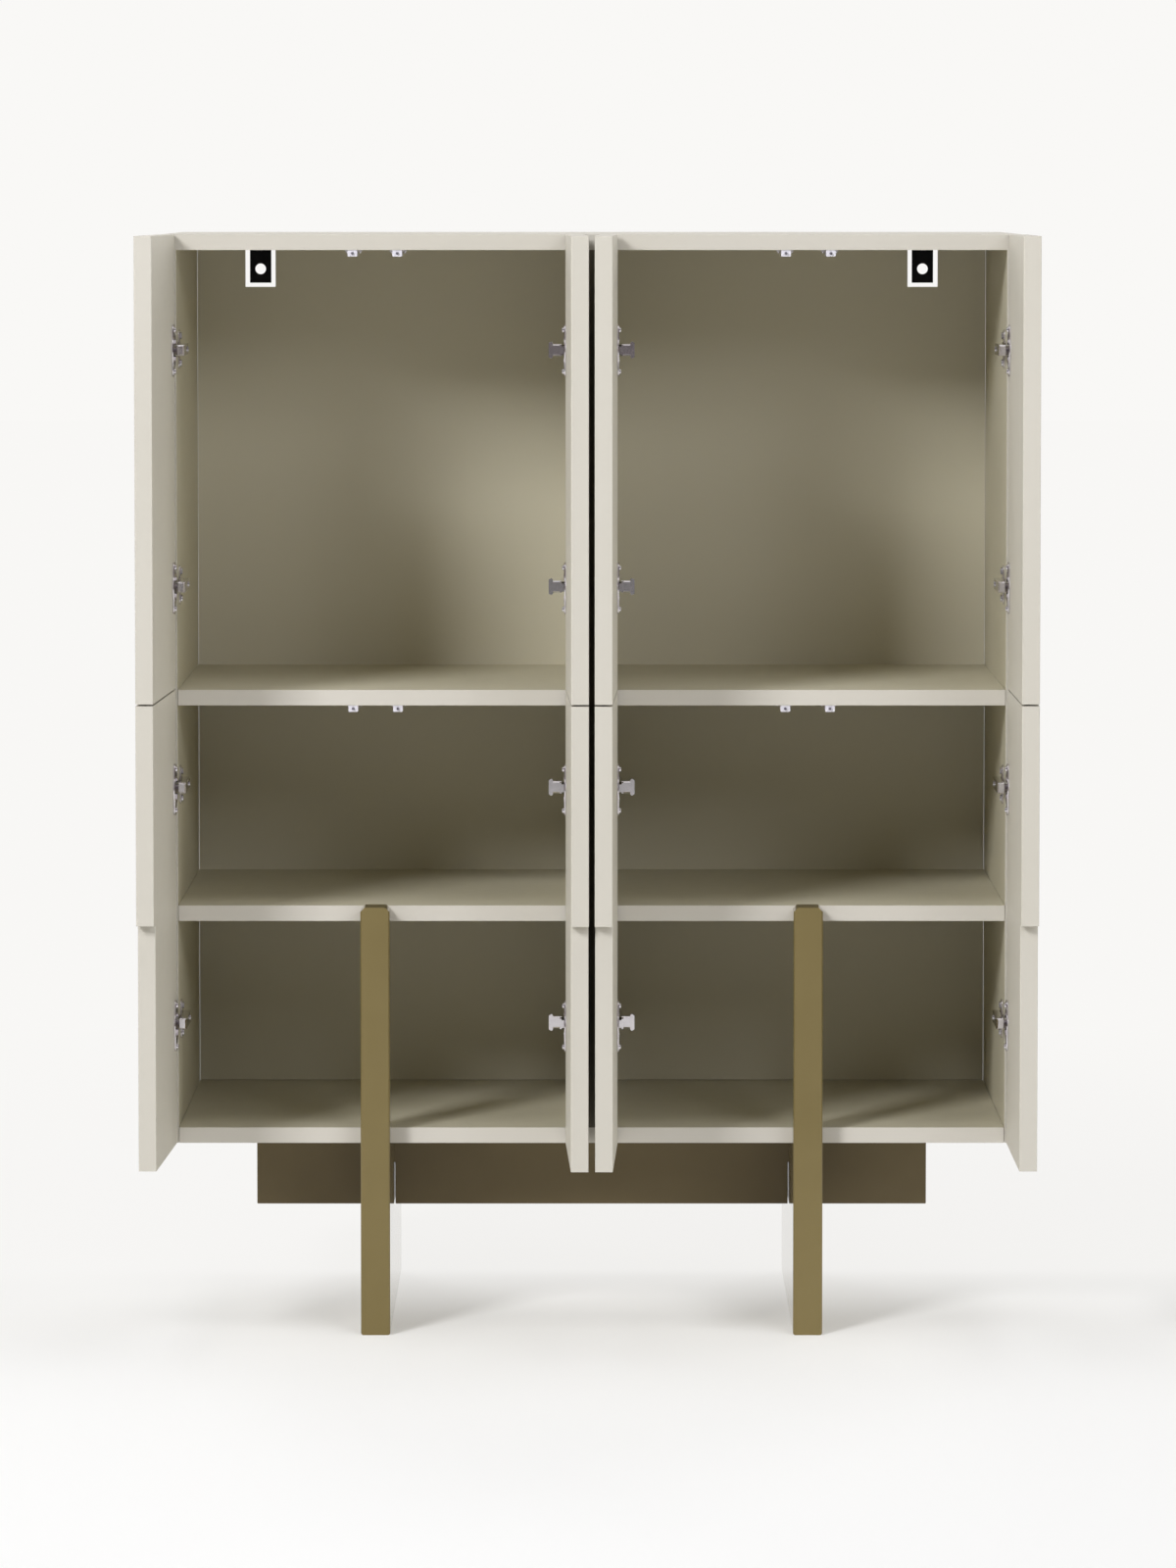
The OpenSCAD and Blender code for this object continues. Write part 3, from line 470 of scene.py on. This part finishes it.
def studio_world():
    """White where it is seen, and a dim room in front of the object where metal reflects it."""
    world = bpy.data.worlds.new("studio")
    scene.world = world
    world.use_nodes = True
    tree = world.node_tree
    tree.nodes.clear()
    out = tree.nodes.new("ShaderNodeOutputWorld")
    seen = tree.nodes.new("ShaderNodeBackground")
    seen.inputs["Color"].default_value = BACKDROP
    light = tree.nodes.new("ShaderNodeBackground")
    light.inputs["Color"].default_value = WHITE
    light.inputs["Strength"].default_value = AMBIENT
    mix = tree.nodes.new("ShaderNodeMixShader")
    tree.links.new(seen_rays(tree, "Is Camera Ray", "Is Glossy Ray", "Is Transmission Ray"),
                   mix.inputs[0])
    room = tree.nodes.new("ShaderNodeBackground")
    room.inputs["Color"].default_value = ROOM_COLOUR
    place = tree.nodes.new("ShaderNodeTexCoord")
    parts = tree.nodes.new("ShaderNodeSeparateXYZ")
    tree.links.new(place.outputs["Generated"], parts.inputs[0])
    in_front = ramp(tree, parts.outputs["Y"], ROOM_FROM, ROOM_TO, 1, 0)
    mirrored = tree.nodes.new("ShaderNodeMath")
    mirrored.operation = "MULTIPLY"
    tree.links.new(in_front, mirrored.inputs[0])
    tree.links.new(seen_rays(tree, "Is Glossy Ray"), mirrored.inputs[1])
    backdrop = tree.nodes.new("ShaderNodeMixShader")
    tree.links.new(mirrored.outputs[0], backdrop.inputs[0])
    tree.links.new(seen.outputs[0], backdrop.inputs[1])
    tree.links.new(room.outputs[0], backdrop.inputs[2])
    tree.links.new(light.outputs[0], mix.inputs[1])
    tree.links.new(backdrop.outputs[0], mix.inputs[2])
    tree.links.new(mix.outputs[0], out.inputs["Surface"])


def studio_floor():
    """A pale floor that keeps a soft shadow and fades into the backdrop's white."""
    bpy.ops.mesh.primitive_plane_add(size=FLOOR_SIZE, location=(0, 0, 0))
    floor = bpy.context.object
    floor.name = "studio_floor"
    material, tree, shader = new_material("studio_floor")
    seen = seen_rays(tree, "Is Camera Ray", "Is Glossy Ray", "Is Transmission Ray")
    albedo = tree.nodes.new("ShaderNodeMix")
    albedo.data_type = "RGBA"
    albedo.inputs["A"].default_value = (FLOOR_ALBEDO,) * 3 + (1,)
    albedo.inputs["B"].default_value = SEEN_ALBEDO + (1,)
    tree.links.new(seen, albedo.inputs["Factor"])
    tree.links.new(albedo.outputs["Result"], shader.inputs["Base Color"])
    tree.links.new(ramp(tree, seen, 0, 1, FLOOR_LIGHT, 0), shader.inputs["Emission Strength"])
    shader.inputs["Emission Color"].default_value = WHITE
    shader.inputs["Roughness"].default_value = 0.9
    shader.inputs["Specular IOR Level"].default_value = 0.0
    place = tree.nodes.new("ShaderNodeTexCoord").outputs["Object"]
    parts = tree.nodes.new("ShaderNodeSeparateXYZ")
    tree.links.new(place, parts.inputs[0])
    length = tree.nodes.new("ShaderNodeVectorMath")
    length.operation = "LENGTH"
    tree.links.new(place, length.inputs[0])
    by_depth = ramp(tree, parts.outputs["Y"], SHADOW_FROM, SHADOW_TO, SHADOW_FRONT, SHADOW_BACK)
    by_reach = ramp(tree, length.outputs["Value"], FLOOR_NEAR, FLOOR_FAR, 1, 0)
    share = times(tree, by_depth, by_reach)
    amount = times(tree, ramp(tree, share, 0, 1, 1, 0), seen)
    mirrored = ramp(tree, parts.outputs["Y"], ROOM_FAR, ROOM_NEAR, ROOM_SHARE, 1)
    darkened = tree.nodes.new("ShaderNodeMix")
    darkened.inputs["A"].default_value = 1
    tree.links.new(seen_rays(tree, "Is Glossy Ray"), darkened.inputs["Factor"])
    tree.links.new(mirrored, darkened.inputs["B"])
    glow = tree.nodes.new("ShaderNodeEmission")
    glow.inputs["Color"].default_value = tuple(c / BACKDROP[0] for c in BACKDROP[:3]) + (1,)
    tree.links.new(ramp(tree, darkened.outputs["Result"], 0, 1, 0, FLOOR_GLOW),
                   glow.inputs["Strength"])
    mix = tree.nodes.new("ShaderNodeMixShader")
    tree.links.new(amount, mix.inputs[0])
    tree.links.new(shader.outputs[0], mix.inputs[1])
    tree.links.new(glow.outputs[0], mix.inputs[2])
    out = next(n for n in tree.nodes if n.type == "OUTPUT_MATERIAL")
    tree.links.new(mix.outputs[0], out.inputs["Surface"])
    floor.data.materials.append(material)


def mirror_like():
    """The plated pieces, which mirror the studio and which no lamp lights directly."""
    plated = bpy.data.collections.new("plated_pieces")
    for obj in scene.objects:
        if obj.type == "MESH" and obj.active_material in (NICKEL, STEEL):
            plated.objects.link(obj)
    for entry in plated.collection_objects:
        entry.light_linking.link_state = "EXCLUDE"
    return plated


def softbox(name, azimuth, elevation, distance, size, power):
    """A rectangular lamp aimed at the middle of the object. Azimuth 0 is the front."""
    a, e = math.radians(azimuth), math.radians(elevation)
    place = AIM + distance * Vector((math.sin(a) * math.cos(e), -math.cos(a) * math.cos(e),
                                     math.sin(e)))
    data = bpy.data.lights.new(name, "AREA")
    data.shape = "RECTANGLE"
    data.size, data.size_y = size
    data.energy = power
    data.color = LAMP_TINT
    lamp = bpy.data.objects.new(name, data)
    scene.collection.objects.link(lamp)
    lamp.light_linking.receiver_collection = mirrors
    lamp.visible_glossy = not name.startswith("rear")    # else they glare on the top
    lamp.location = place
    lamp.rotation_euler = (AIM - place).to_track_quat("-Z", "Y").to_euler()
    return lamp


AIM = Vector((0, 0, 0.75))       # what the lamps point at
AMBIENT = 0.02                   # the world's own light on the object
LAMP_TINT = (0.965, 0.985, 1.085)
# Name, azimuth, elevation, distance, size in metres, power in watts
LAMPS = [
    ("left_key", -32, 28, 9, (1.8, 2.3), 550),
    ("left_side", -60, 30, 5, (1.8, 1.8), 30),
    ("right_key", 20, 24, 9, (2, 2.4), 96),
    ("right_wide", 33, 22, 9, (3.2, 2.4), 118),
    ("right_low", 60, 6, 5, (1.5, 1.2), 38),
    ("top", 0, 85, 3.5, (3, 3), 66),
    ("rear_left", -150, 18, 4.5, (1.8, 1.8), 48),
    ("rear_right", 140, 18, 4.5, (1.8, 1.8), 48),
]
mirrors = mirror_like()
studio_world()
studio_floor()
for lamp in LAMPS:
    softbox(*lamp)


# Camera

CAMERA_PLACE = (-0.00156, -7.7801, 1.3359)
CAMERA_TILT = 0.05698            # downwards, in radians
CAMERA_FOCAL = 6767.7            # in pixels of the photo
CAMERA_SHIFT = -2.31, -224.0     # the same
SENSOR = 36


def camera():
    data = bpy.data.cameras.new("camera")
    view = bpy.data.objects.new("camera", data)
    scene.collection.objects.link(view)
    view.location = CAMERA_PLACE
    view.rotation_euler = (math.pi / 2 - CAMERA_TILT, 0, 0)
    data.sensor_fit = "AUTO"
    data.sensor_width = SENSOR
    data.lens = CAMERA_FOCAL / PHOTO_H * SENSOR
    data.shift_x, data.shift_y = (shift / PHOTO_H for shift in CAMERA_SHIFT)
    data.clip_end = 100
    scene.camera = view


camera()
scene.view_settings.view_transform = "Standard"
